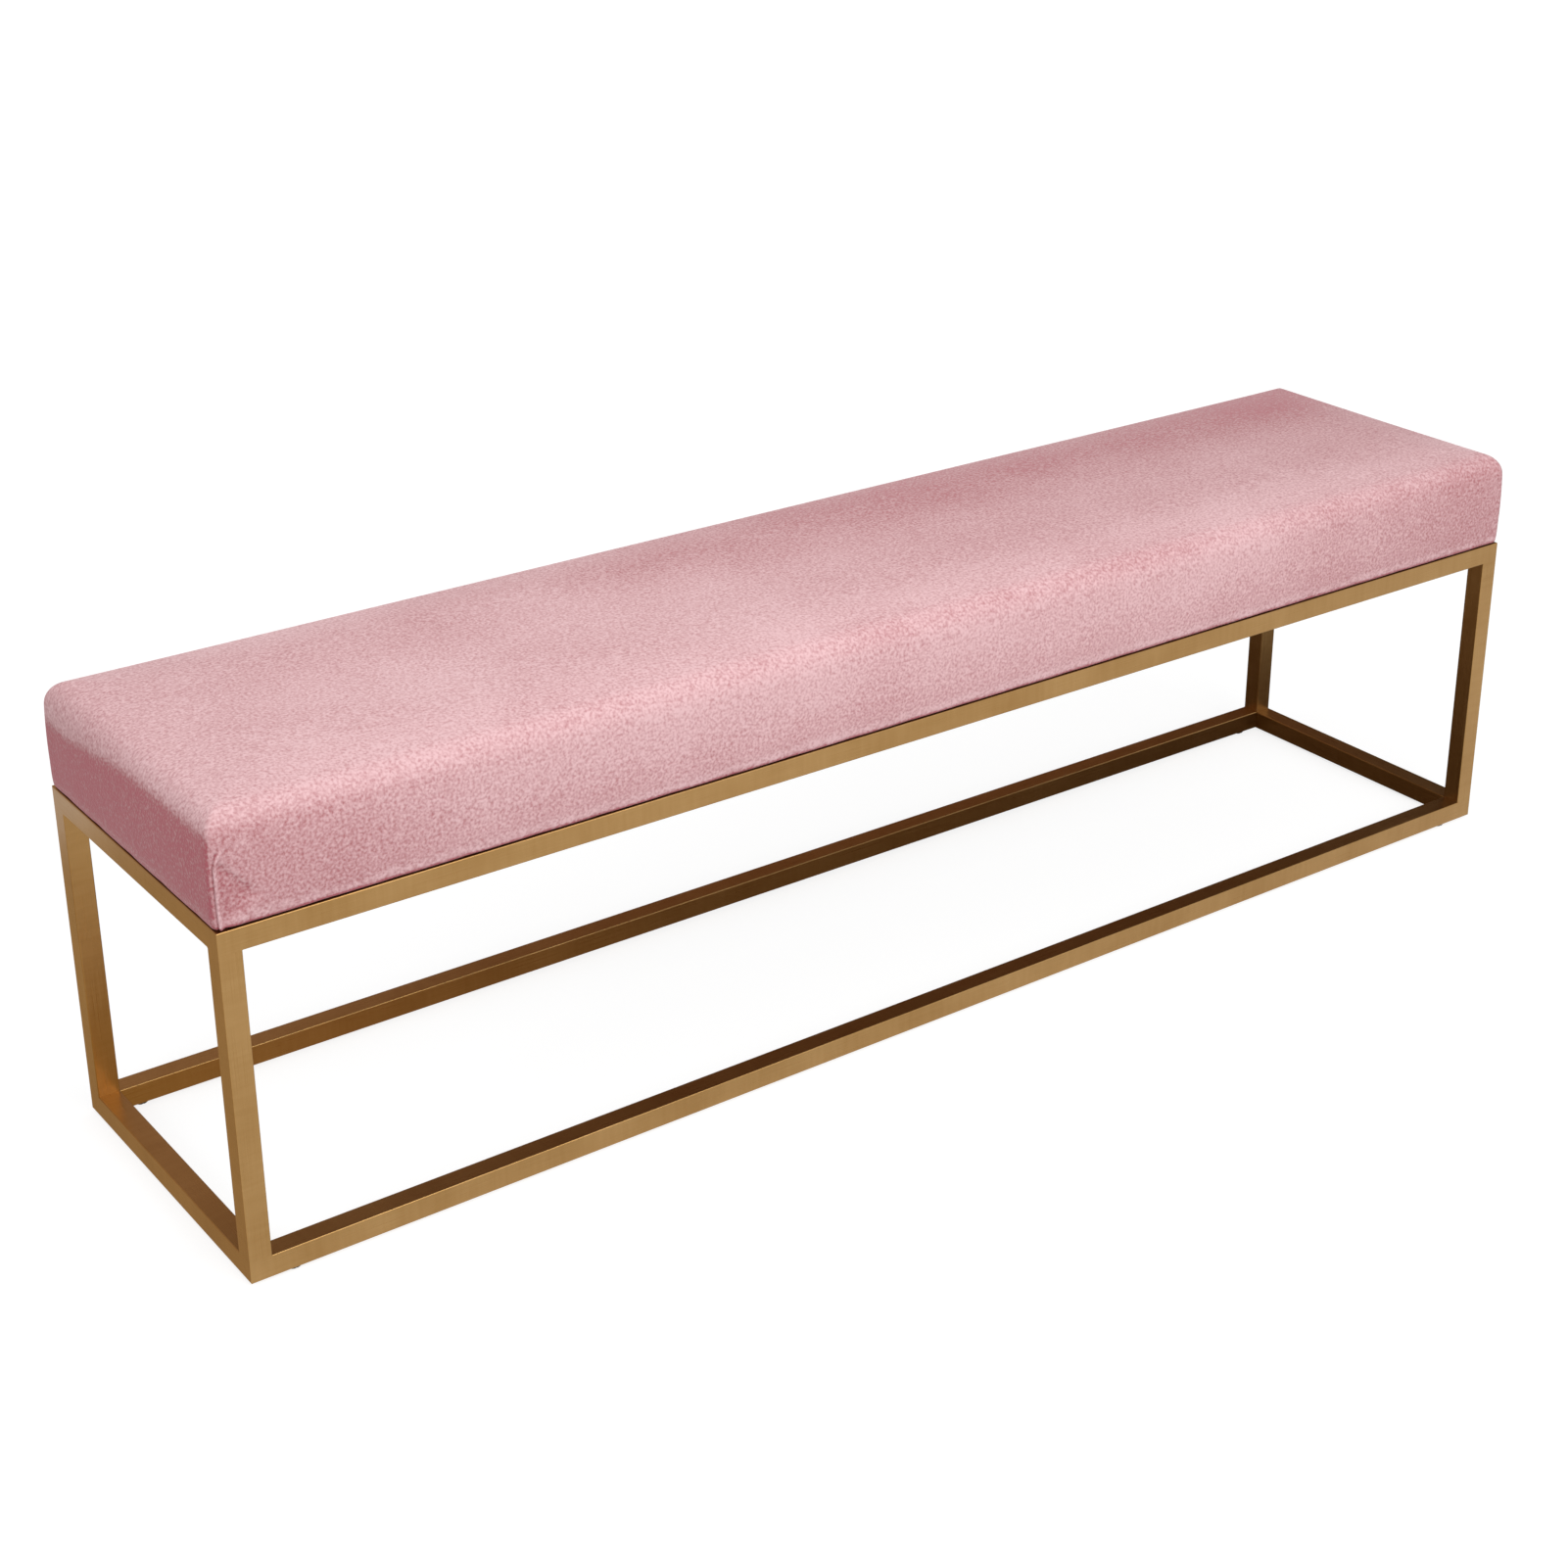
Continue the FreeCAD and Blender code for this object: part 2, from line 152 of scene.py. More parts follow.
# Cross braces
# Three lengths of plain mild steel tube under the seat, welded between the long upper rails.
# They aren't plated: mill scale with a straw and blue heat tint beside the welds.
brace_low, brace_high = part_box("cross_brace_middle")
SCALE_CLOUD = 0.025
SCALE_GRIT = 0.001
GRIT_DEPTH = 0.0001
HEAT_TINT_REACH = 0.014    # how far from a weld the steel is tinted
material, tree, output, place = new_material("mild_steel_mill_scale")
scale_clouds = add_node(
    tree, "TexNoise",
    {"Vector": place, "Scale": 1 / SCALE_CLOUD, "Detail": 5, "Roughness": 0.65},
)
scale_grit = add_node(tree, "TexNoise", {"Vector": place, "Scale": 1 / SCALE_GRIT, "Detail": 2})
steel_tone = add_node(
    tree, "Mix",
    {"Factor": scale_clouds.outputs[0], "A": linear("#4A4A4C"), "B": linear("#7C7A77")},
    data_type="RGBA",
)
across = add_node(tree, "SeparateXYZ", {"Vector": place}).outputs[1]
reach = add_node(tree, "Math", {0: across}, operation="ABSOLUTE")
tint_start = brace_high.y - HEAT_TINT_REACH
at_weld = add_node(
    tree, "MapRange", {"Value": reach.outputs[0], "From Min": tint_start, "From Max": brace_high.y}
)
weld_tone = add_node(
    tree, "Mix",
    {"Factor": at_weld.outputs[0], "A": linear("#8A6A35"), "B": linear("#3C4A66")},
    data_type="RGBA",
)
tinted = add_node(
    tree, "Mix",
    {"Factor": at_weld.outputs[0], "A": steel_tone.outputs[2], "B": weld_tone.outputs[2]},
    data_type="RGBA",
)
dull = add_node(
    tree, "MapRange", {"Value": scale_clouds.outputs[0], "To Min": 0.42, "To Max": 0.62}
)
bump = add_node(
    tree, "Bump", {"Height": scale_grit.outputs[0], "Strength": 0.3, "Distance": GRIT_DEPTH}
)
shader = add_node(
    tree, "BsdfPrincipled",
    {
        "Base Color": tinted.outputs[2], "Metallic": 1.0, "Roughness": dull.outputs[0],
        "Normal": bump.outputs[0],
    },
)
tree.links.new(shader.outputs[0], output.inputs[0])
dress(["cross_brace_left", "cross_brace_middle", "cross_brace_right"], material)


# Screws, washers, T-nuts, staples, glide stems and inserts
# Turned, pressed and drawn steel with a zinc coat, which clouds slightly in small grey
# patches and is dullest where it is palest.
ZINC_CLOUD = 0.004
ZINC_RELIEF = 0.0001


def zinc_plate(name, dark, pale):
    """Zinc on steel: cool silver, semi-bright, with faint clouds."""
    material, tree, output, place = new_material(name)
    clouds = add_node(tree, "TexNoise", {"Vector": place, "Scale": 1 / ZINC_CLOUD, "Detail": 4})
    tone = add_node(
        tree, "Mix", {"Factor": clouds.outputs[0], "A": linear(dark), "B": linear(pale)},
        data_type="RGBA",
    )
    gloss = add_node(tree, "MapRange", {"Value": clouds.outputs[0], "To Min": 0.22, "To Max": 0.4})
    bump = add_node(
        tree, "Bump", {"Height": clouds.outputs[0], "Strength": 0.1, "Distance": ZINC_RELIEF}
    )
    shader = add_node(
        tree, "BsdfPrincipled",
        {
            "Base Color": tone.outputs[2], "Metallic": 1.0, "Roughness": gloss.outputs[0],
            "Normal": bump.outputs[0],
        },
    )
    tree.links.new(shader.outputs[0], output.inputs[0])
    return material


stems = ["glide_stem_" + corner for corner in corners]
plated = ["seat_screws", "seat_washers", "seat_t_nuts", "glide_inserts"]
dress(plated + stems, zinc_plate("bright_zinc_plate", "#A9AEB3", "#D5D9DC"))
dress(["cover_staples", "dust_cover_staples"], zinc_plate("galvanised_wire", "#8E9296", "#B9BDC0"))


# Glide pads
# Moulded black nylon pads that the bench stands on. The mould's spark-eroded walls leave the
# nylon with a fine even grain and a dull shine, a little scuffed.
SPARK_GRAIN = 0.0006
SPARK_DEPTH = 0.00008
SCUFF_SIZE = 0.006
material, tree, output, place = new_material("moulded_nylon")
spark = add_node(tree, "TexNoise", {"Vector": place, "Scale": 1 / SPARK_GRAIN, "Detail": 2})
scuffs = add_node(tree, "TexNoise", {"Vector": place, "Scale": 1 / SCUFF_SIZE, "Detail": 4})
tone = add_node(
    tree, "Mix",
    {"Factor": scuffs.outputs[0], "A": linear("#1B1B1C"), "B": linear("#2E2E2F")},
    data_type="RGBA",
)
bump = add_node(
    tree, "Bump", {"Height": spark.outputs[0], "Strength": 0.4, "Distance": SPARK_DEPTH}
)
shader = add_node(
    tree, "BsdfPrincipled",
    {"Base Color": tone.outputs[2], "Roughness": 0.5, "IOR": 1.53, "Normal": bump.outputs[0]},
)
tree.links.new(shader.outputs[0], output.inputs[0])
dress(["glide_pad_" + corner for corner in corners], material)


# Seat board
# A sheet of birch plywood, 15 mm thick in 11 plies. Long grain on the faces, and light and
# dark plies alternate along the sawn edges.
board_low, board_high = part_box("seat_board")
PLY_COUNT = 11
PLY_THICKNESS = (board_high.z - board_low.z) / PLY_COUNT
WOOD_GRAIN_LENGTH = 0.25
WOOD_GRAIN_WIDTH = 0.008
WOOD_GRAIN_DEPTH = 0.0002
material, tree, output, place = new_material("birch_plywood")
grain_scale = (1 / WOOD_GRAIN_LENGTH, 1 / WOOD_GRAIN_WIDTH, 1 / WOOD_GRAIN_WIDTH)
grain_place = add_node(tree, "Mapping", {"Vector": place, "Scale": grain_scale})
grain = add_node(
    tree, "TexNoise",
    {"Vector": grain_place.outputs[0], "Scale": 1, "Detail": 5, "Distortion": 0.6},
)
face_tone = add_node(
    tree, "Mix",
    {"Factor": grain.outputs[0], "A": linear("#BE9A6A"), "B": linear("#E2C79C")},
    data_type="RGBA",
)
height = add_node(tree, "SeparateXYZ", {"Vector": place}).outputs[2]
above_sheet = add_node(tree, "Math", {0: height, 1: board_low.z}, operation="SUBTRACT")
ply = add_node(tree, "Math", {0: above_sheet.outputs[0], 1: PLY_THICKNESS}, operation="DIVIDE")
dark_ply = add_node(tree, "Math", {0: ply.outputs[0], 1: 1.0}, operation="PINGPONG")
ply_band = add_node(
    tree, "MapRange", {"Value": dark_ply.outputs[0], "From Min": 0.4, "From Max": 0.6}
)
edge_tone = add_node(
    tree, "Mix",
    {"Factor": ply_band.outputs[0], "A": linear("#8F6A42"), "B": linear("#D3B588")},
    data_type="RGBA",
)
normal = add_node(tree, "NewGeometry").outputs["Normal"]
up = add_node(tree, "SeparateXYZ", {"Vector": normal}).outputs[2]
facing_up = add_node(tree, "Math", {0: up}, operation="ABSOLUTE")
board_tone = add_node(
    tree, "Mix",
    {"Factor": facing_up.outputs[0], "A": edge_tone.outputs[2], "B": face_tone.outputs[2]},
    data_type="RGBA",
)
bump = add_node(
    tree, "Bump", {"Height": grain.outputs[0], "Strength": 0.3, "Distance": WOOD_GRAIN_DEPTH}
)
shader = add_node(
    tree, "BsdfPrincipled",
    {"Base Color": board_tone.outputs[2], "Roughness": 0.62, "Normal": bump.outputs[0]},
)
tree.links.new(shader.outputs[0], output.inputs[0])
dress(["seat_board"], material)


# Foam core
# A block of cream polyurethane foam on the board, its top edge cut round and its top slightly
# crowned. Cut foam shows its open cells.
cover_low, cover_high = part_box("velvet_cover")
HALF_PLAN = np.array([cover_high.x, cover_high.y])
CROWN = 0.004
CROWN_RUN = 0.11
CROWN_SLOPE = math.atan(2 * CROWN / CROWN_RUN)
SHOULDER_RADIUS = 0.025
BULGE_FROM_BOTTOM = 0.002  # how far the middle of a side stands out past its lower edge
BULGE_FROM_TOP = 0.001     # and past its upper edge
CORNER_RADIUS = 0.009
CORNER_LOSS = 3            # an inner ring's corner is smaller by a third of how far in it lies
SMALLEST_CORNER = 0.003
FOOT_HEIGHT = 0.004        # the lower edge is drawn in below this height
FOOT_ROWS = [0, 0.0013, 0.0027]
RIM_ZONE = 0.018           # grid width that each half of the shoulder takes up
SHOULDER_REACH = 0.12      # how far from the edge the shoulder still moves the top's points
EDGE_CELL = 0.0025         # the grid is finest beside the upright corners
EDGE_CELLS = 14
shoulder_base = cover_high.z - CROWN - SHOULDER_RADIUS


def smooth_step(value, low, high):
    """0 up to low and 1 from high on, with a soft rise between them."""
    share = np.clip((value - low) / (high - low), 0, 1)
    return share * share * (3 - 2 * share)


def graded_cuts(half_size, cell):
    """Where the grid lines lie across a block, closest together at both ends."""
    edge = np.arange(EDGE_CELLS + 1) * EDGE_CELL
    inner = half_size - edge[-1]
    middle = np.linspace(-inner, inner, round(2 * inner / cell) + 1)
    return np.concatenate([edge - half_size, middle[1:-1], (half_size - edge)[::-1]])


def stuffed_block(name, inset, bottom, tuck, cell):
    """A closed grid of quads in the seat's padded form, set in by inset and flat at bottom.

    The lower edge is drawn in by tuck. The form is a box of grid cells, about one cell wide
    each, extruded row by row. Its points then move to the section and the round-cornered plan.
    """
    side = shoulder_base - bottom
    cuts = [graded_cuts(size, cell) for size in HALF_PLAN]
    rows = np.concatenate([
        FOOT_ROWS, np.linspace(FOOT_HEIGHT, side, round(side / cell * 2)),
        side + RIM_ZONE * np.array([0.25, 0.5, 0.75, 1.0]),
    ])
    bpy.ops.object.select_all(action="DESELECT")
    bpy.ops.mesh.primitive_grid_add(
        x_subdivisions=len(cuts[0]) - 1, y_subdivisions=len(cuts[1]) - 1,
        size=2, location=(0, 0, 0),
    )
    block = bpy.context.object
    block.name = name
    bpy.ops.object.mode_set(mode="EDIT")
    bpy.ops.mesh.select_all(action="SELECT")
    for low, high in zip(rows, rows[1:]):
        bpy.ops.mesh.extrude_region_move(TRANSFORM_OT_translate={"value": (0, 0, high - low)})
    bpy.ops.mesh.select_all(action="SELECT")
    bpy.ops.mesh.normals_make_consistent(inside=False)
    bpy.ops.object.mode_set(mode="OBJECT")

    points = np.array([vertex.co for vertex in block.data.vertices])
    for axis in (0, 1):
        number = np.round((points[:, axis] + 1) / 2 * (len(cuts[axis]) - 1)).astype(int)
        points[:, axis] = cuts[axis][number]
    up = points[:, 2]
    from_edge = np.clip((HALF_PLAN - abs(points[:, :2])).min(axis=1), 0, None)
    is_top = up > rows[-1] - 1e-6

    # the section: how far in and how high each point goes
    turned = np.clip((up + np.where(is_top, from_edge, 0) - side) / (2 * RIM_ZONE), 0, 1)
    turn = (math.pi / 2 - CROWN_SLOPE) * turned
    radius = SHOULDER_RADIUS - inset
    up_side = np.clip(up / side, 0, 1)
    bulge = np.where(up_side < 0.5, BULGE_FROM_BOTTOM, BULGE_FROM_TOP) * (2 * up_side - 1) ** 2
    drawn_in = inset + bulge + radius * (1 - np.cos(turn))
    drawn_in += tuck * (1 - np.clip(up / FOOT_HEIGHT, 0, 1)) ** 2
    drawn_in -= np.where(is_top, np.minimum(from_edge, RIM_ZONE), 0)
    inward = from_edge + drawn_in * (1 - smooth_step(from_edge, RIM_ZONE, SHOULDER_REACH))
    share = np.clip((from_edge - RIM_ZONE) / CROWN_RUN, 0, 1) * is_top
    height = bottom + np.minimum(up, side) + radius * np.sin(turn) + CROWN * (1 - (1 - share) ** 2)

    # the plan: each ring is scaled to its new size, and its corners are rounded
    grid_half = np.maximum(HALF_PLAN - from_edge[:, None], 1e-9)
    new_half = np.maximum(HALF_PLAN - inward[:, None], 0)
    plan = abs(points[:, :2]) * new_half / grid_half
    gap = new_half - plan
    corner = np.clip(CORNER_RADIUS - inward / CORNER_LOSS, SMALLEST_CORNER, None)
    past = 1 - gap.max(axis=1) / corner
    swing = math.pi / 4 * np.clip(past, 0, 1)
    along = corner * (np.sin(swing) - 1)
    across = corner * (np.cos(swing) - 1)
    on_long_side = gap[:, 0] >= gap[:, 1]
    rounded = new_half + np.stack(
        [np.where(on_long_side, along, across), np.where(on_long_side, across, along)], axis=1
    )
    plan = np.where((past > 0)[:, None], rounded, plan)
    points[:, :2] = np.sign(points[:, :2]) * plan
    points[:, 2] = height
    block.data.vertices.foreach_set("co", points.ravel())
    block.data.update()
    bpy.ops.object.shade_smooth()
    return block


FOAM_INSET = 0.0085
FOAM_GRID = 0.03
FOAM_CELL_SIZE = 0.0012
FOAM_CELL_DEPTH = 0.0004
YELLOWED_PATCH = 0.08
foam = stuffed_block("foam_block", FOAM_INSET, board_high.z, 0, FOAM_GRID)
material, tree, output, place = new_material("cut_polyurethane_foam")
cells = add_node(tree, "TexVoronoi", {"Vector": place, "Scale": 1 / FOAM_CELL_SIZE})
ageing = add_node(tree, "TexNoise", {"Vector": place, "Scale": 1 / YELLOWED_PATCH, "Detail": 2})
tone = add_node(
    tree, "Mix", {"Factor": ageing.outputs[0], "A": linear("#E6D9A8"), "B": linear("#F0E6C4")},
    data_type="RGBA",
)
bump = add_node(
    tree, "Bump", {"Height": cells.outputs[0], "Strength": 0.7, "Distance": FOAM_CELL_DEPTH}
)
shader = add_node(
    tree, "BsdfPrincipled",
    {"Base Color": tone.outputs[2], "Roughness": 0.95, "Normal": bump.outputs[0]},
)
tree.links.new(shader.outputs[0], output.inputs[0])
foam.data.materials.append(material)
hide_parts("foam_core")
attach(foam, "bench")


# Wadding
# White polyester fibre laid over the foam and down the board's edges, so that the velvet
# has no hard edge under it. A loose felt of crimped fibres, matt and softly uneven.
WADDING_INSET = 0.0045
WADDING_THICKNESS = 0.003
WADDING_LIFT = 0.0008      # it ends this far above the board's underside
WADDING_TUCK = 0.001
WADDING_GRID = 0.02
CRIMP_SIZE = 0.002         # the fibres themselves are too fine to show
WADDING_TUFT = 0.02
WADDING_LOFT = 0.001
wadding_foot = board_low.z + WADDING_LIFT
wadding = stuffed_block(
    "polyester_wadding", WADDING_INSET, wadding_foot, WADDING_TUCK, WADDING_GRID
)
bpy.ops.object.mode_set(mode="EDIT")
bpy.ops.mesh.select_mode(type="FACE")
bpy.ops.mesh.select_all(action="DESELECT")
mesh = bmesh.from_edit_mesh(wadding.data)
for face in mesh.faces:
    faces_down = face.normal.z < -0.9
    face.select_set(faces_down)
bmesh.update_edit_mesh(wadding.data)
bpy.ops.mesh.delete(type="FACE")
bpy.ops.object.mode_set(mode="OBJECT")
thickness = wadding.modifiers.new("thickness", "SOLIDIFY")
thickness.thickness = WADDING_THICKNESS
thickness.offset = -1
bpy.ops.object.modifier_apply(modifier="thickness")
material, tree, output, place = new_material("polyester_wadding")
fibres = add_node(
    tree, "TexNoise", {"Vector": place, "Scale": 1 / CRIMP_SIZE, "Detail": 5, "Distortion": 1.5}
)
tufts = add_node(tree, "TexNoise", {"Vector": place, "Scale": 1 / WADDING_TUFT, "Detail": 3})
tone = add_node(
    tree, "Mix", {"Factor": fibres.outputs[0], "A": linear("#DAD9D4"), "B": linear("#F6F5F1")},
    data_type="RGBA",
)
loft = add_node(tree, "Math", {0: fibres.outputs[0], 1: tufts.outputs[0]}, operation="ADD")
bump = add_node(
    tree, "Bump", {"Height": loft.outputs[0], "Strength": 0.8, "Distance": WADDING_LOFT}
)
shader = add_node(
    tree, "BsdfPrincipled",
    {
        "Base Color": tone.outputs[2], "Roughness": 1.0, "Sheen Weight": 0.3,
        "Normal": bump.outputs[0],
    },
)
tree.links.new(shader.outputs[0], output.inputs[0])
wadding.data.materials.append(material)
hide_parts("wadding_wrap")
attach(wadding, "bench")


# Velvet cushion
# The cover of the seat: pink cut-pile velvet pulled over the wadding, turned under the board
# and stapled. It bulges a little between its corners, and the spare cloth of each upright
# corner is folded under in one tuck.
SWELL = 0.001              # the cloth starts this much smaller, and the stuffing fills it out
LARGEST_MOVE = 0.004
TOP_SLACK = 0.2            # the stuffing presses a little less on the top than on the sides
FOAM_HOLD = 0.5            # how far the foam behind it holds the cloth in place
TUCK_UNDER = 0.0008
STAPLED_HEIGHT = 0.004     # the cloth is held below this height, and free above the next one
FREE_HEIGHT = 0.03
SETTLING_FRAMES = 20
CUSHION_GRID = 0.012
cushion = stuffed_block("velvet_cushion", 0, cover_low.z, TUCK_UNDER, CUSHION_GRID)
flat_places = np.array([vertex.co for vertex in cushion.data.vertices])
normals = np.array([vertex.normal for vertex in cushion.data.vertices])
stapled_line = cover_low.z + STAPLED_HEIGHT
free = smooth_step(flat_places[:, 2], stapled_line, cover_low.z + FREE_HEIGHT)[:, None]
start_places = flat_places - normals * SWELL * free
moved = normals * SWELL * free
cushion.data.vertices.foreach_set("co", start_places.ravel())
held = cushion.vertex_groups.new(name="held")
stuffed = cushion.vertex_groups.new(name="stuffed")
for i, lift in enumerate(normals[:, 2]):
    held.add([i], 1.0 if free[i, 0] == 0 else FOAM_HOLD, "REPLACE")
    stuffed.add([i], 1 - TOP_SLACK * max(float(lift), 0), "REPLACE")
cloth = cushion.modifiers.new("stuffing", "CLOTH")
cloth.settings.quality = 6
cloth.settings.mass = 0.3
cloth.settings.tension_stiffness = 25
cloth.settings.compression_stiffness = 25
cloth.settings.shear_stiffness = 10
cloth.settings.bending_stiffness = 2
cloth.settings.use_pressure = True
cloth.settings.uniform_pressure_force = 4
cloth.settings.vertex_group_mass = "held"
cloth.settings.pin_stiffness = 0.02
cloth.settings.vertex_group_pressure = "stuffed"
cloth.settings.effector_weights.gravity = 0
cloth.collision_settings.use_self_collision = False
for frame_number in range(1, SETTLING_FRAMES + 1):
    bpy.context.scene.frame_set(frame_number)
blown_up = cushion.evaluated_get(bpy.context.evaluated_depsgraph_get())
moved = np.array([vertex.co for vertex in blown_up.data.vertices]) - start_places
cushion.modifiers.remove(cloth)
bpy.context.scene.frame_set(1)
length = np.linalg.norm(moved, axis=1, keepdims=True)
moved *= LARGEST_MOVE * np.tanh(length / LARGEST_MOVE) / np.maximum(length, 1e-9)
cushion.data.vertices.foreach_set("co", (start_places + moved).ravel())
cushion.data.update()
subdivision = cushion.modifiers.new("smooth", "SUBSURF")
subdivision.levels = 1
subdivision.render_levels = 1
bpy.ops.object.modifier_apply(modifier="smooth")

# the tucks: one fold up each upright corner, a hollow beside it where the cloth is pulled, and
# shallow dents above the staples. A point on a side lies at from_corner along it and at rise
# above the lower edge. A pair of values says where a change begins and is complete.
CREASE_PLACE = 0.0012      # how far the crease lies from the corner
CREASE_WIDTH = 0.0013
CREASE_DEPTH = 0.0016
CREASE_PAINTED_SHADE = -0.4
FOLD_PLACE = 0.0034        # how far the fold's ridge lies from the crease
FOLD_WIDTH = 0.0022
FOLD_HEIGHT = 0.0011
FOLD_PAINTED_HIGHLIGHT = 0.25
BEND_START = 0.055         # above this height the crease bends away from the corner
BEND_RUN = 0.02
BEND_REACH = 0.0085
LONGEST_BEND = 1.4
TUCK_TOP = 0.083
TUCK_FADE = 0.014
HOLLOW_DEPTH = 0.0026
HOLLOW_PAINTED_SHADE = -0.2
PULL_HEIGHT = 0.067        # the hollow lies under a line that falls from here along the side
PULL_SLOPE = 1.15
PULL_PLACE = 0.005
PULL_BLUR = -0.007, 0.004
FOOT_LINE = 0.008          # and over one that rises from here
FOOT_SLOPE = 0.75
FOOT_PLACE = 0.010
FOOT_BLUR = -0.014, 0.006
HOLLOW_FROM_FOLD = 0.002, 0.008
HOLLOW_FROM_CORNER = 0.0, 0.006
SHOULDER_RUN = 0.8         # the rise grows by this for each step inwards over the shoulder
UNDER_BLUR = 0.001
STAPLE_PITCH = 0.07
STAPLE_DENT = 0.0004
STAPLE_REACH = 0.014       # how far up the side a staple's dent shows
SIDE_DEPTH = 0.012         # points less deep than this lie on the sides
points = np.array([vertex.co for vertex in cushion.data.vertices])
normals = np.array([vertex.normal for vertex in cushion.data.vertices])
to_side = HALF_PLAN - abs(points[:, :2])
tuck_painted_light = np.zeros(len(points))
push = np.zeros(len(points))
rise = points[:, 2] - cover_low.z + SHOULDER_RUN * np.clip(to_side.min(axis=1), 0, None)
under = 1 - smooth_step(points[:, 2], cover_low.z - UNDER_BLUR, cover_low.z + UNDER_BLUR)
# the front left and back left tucks lie on the long sides, the two right ones on the end
for end, side, on_long_side in ((-1, -1, True), (-1, 1, True), (1, -1, False), (1, 1, False)):
    at_corner = (points[:, 0] * end > 0) & (points[:, 1] * side > 0)
    from_corner = (to_side[:, 0] - to_side[:, 1]) * (1 if on_long_side else -1)
    bend = np.clip((rise - BEND_START) / BEND_RUN, 0, LONGEST_BEND)
    beside = from_corner - (CREASE_PLACE + BEND_REACH * bend ** 2)
    shown = at_corner * (1 - smooth_step(rise, TUCK_TOP - TUCK_FADE, TUCK_TOP)) * (1 - under)
    crease = np.exp(-((beside / CREASE_WIDTH) ** 2))
    fold = np.exp(-(((beside - FOLD_PLACE) / FOLD_WIDTH) ** 2))
    below_pull = PULL_HEIGHT - PULL_SLOPE * (from_corner - PULL_PLACE) - rise
    above_foot = rise - FOOT_LINE - FOOT_SLOPE * (from_corner - FOOT_PLACE)
    hollow = at_corner * smooth_step(beside, *HOLLOW_FROM_FOLD)
    hollow = hollow * smooth_step(from_corner, *HOLLOW_FROM_CORNER)
    hollow = hollow * smooth_step(below_pull, *PULL_BLUR) * smooth_step(above_foot, *FOOT_BLUR)
    push += shown * (FOLD_HEIGHT * fold - CREASE_DEPTH * crease) - HOLLOW_DEPTH * hollow
    # in the nap, the crease and the hollow are darkened with painted shade and the fold's ridge is
    # lightened with a painted highlight
    tuck_painted_light += shown * (FOLD_PAINTED_HIGHLIGHT * fold + CREASE_PAINTED_SHADE * crease) + HOLLOW_PAINTED_SHADE * hollow
on_side = (to_side.min(axis=1) < SIDE_DEPTH) * (1 - under)
along = np.where(to_side[:, 0] > to_side[:, 1], points[:, 0], points[:, 1])
at_staple = np.cos(math.pi * along / STAPLE_PITCH) ** 8
dent = at_staple * np.exp(-((rise / STAPLE_REACH) ** 2))
push -= on_side * STAPLE_DENT * dent
cushion.data.vertices.foreach_set("co", (points + normals * push[:, None]).ravel())
cushion.data.update()
bpy.ops.object.shade_smooth()

# the nap and painted light: 0 where the eye looks into the nap, deep pink, and 1 where it is
# brushed flat, pale. Painted light makes it palest on the top's left half, in a painted highlight
# over the front edge and across the middle of the front; painted shade darkens it towards the back
# right. On the left end it stands open and takes painted shade, as does the cloth under the lower
# edge, just below a pale line.
FACING_UP = 0.25, 0.7      # how squarely a point has to face a way before its nap and painted light show
FACING_FRONT = 0.3, 0.75
FACING_LEFT = 0.7, 0.95
SIDE_NAP_AND_LIGHT = 0.6
FRONT_NAP_AND_LIGHT = 0.49
FRONT_MIDDLE_PAINTED_LIGHT = 0.2
FRONT_UPPER_PAINTED_LIGHT = 0.12
MIDDLE_FROM_LEFT = -0.8, -0.4
MIDDLE_TO_RIGHT = 0.3, 0.8
FRONT_UPPER = 0.015, 0.065
TOP_NAP_AND_LIGHT = 0.72
RIGHT_PAINTED_SHADE = 0.2
RIGHT_HALF = -0.4, 0.2
FAR_RIGHT_PAINTED_SHADE = 0.15
FAR_RIGHT = 0.5, 0.8
BACK_PAINTED_SHADE = 0.34
BACK_HALF = -0.02, 0.13
BACK_TO_RIGHT = -0.7, 0.2
BACK_LEFT_SHARE = 0.3      # how much of the painted shade at the back there is at its left end
EDGE_PAINTED_HIGHLIGHT = 0.81
EDGE_SHARE = 0.85
EDGE_PLACE = 0.04          # how far in from the front the painted highlight is palest
EDGE_WIDTH = 0.05
END_NAP_AND_SHADE = -0.05
END_LINE_HEIGHT = 0.084    # the left end stays pale above this line, which drops at the back
END_LINE_DROP = 0.016
END_LINE_RUN = -0.05, 0.15
END_LINE_BLUR = -0.006, 0.008
HEM_PALE_LINE = 0.2
HEM_LINE = 0.007
HEM_WIDTH = 0.0035
HEM_PAINTED_SHADE = 0.004
x, y, z = points.T
above_hem = z - cover_low.z
facing_up = smooth_step(normals[:, 2], *FACING_UP)
facing_front = smooth_step(-normals[:, 1], *FACING_FRONT)
facing_left = smooth_step(-normals[:, 0], *FACING_LEFT)
# painted light across the middle of the front, strongest in its upper part
painted_light_middle = smooth_step(x, *MIDDLE_FROM_LEFT) * (1 - smooth_step(x, *MIDDLE_TO_RIGHT))
middle_painted_light = FRONT_MIDDLE_PAINTED_LIGHT + FRONT_UPPER_PAINTED_LIGHT * smooth_step(above_hem, *FRONT_UPPER)
front_nap_and_light = FRONT_NAP_AND_LIGHT + painted_light_middle * middle_painted_light
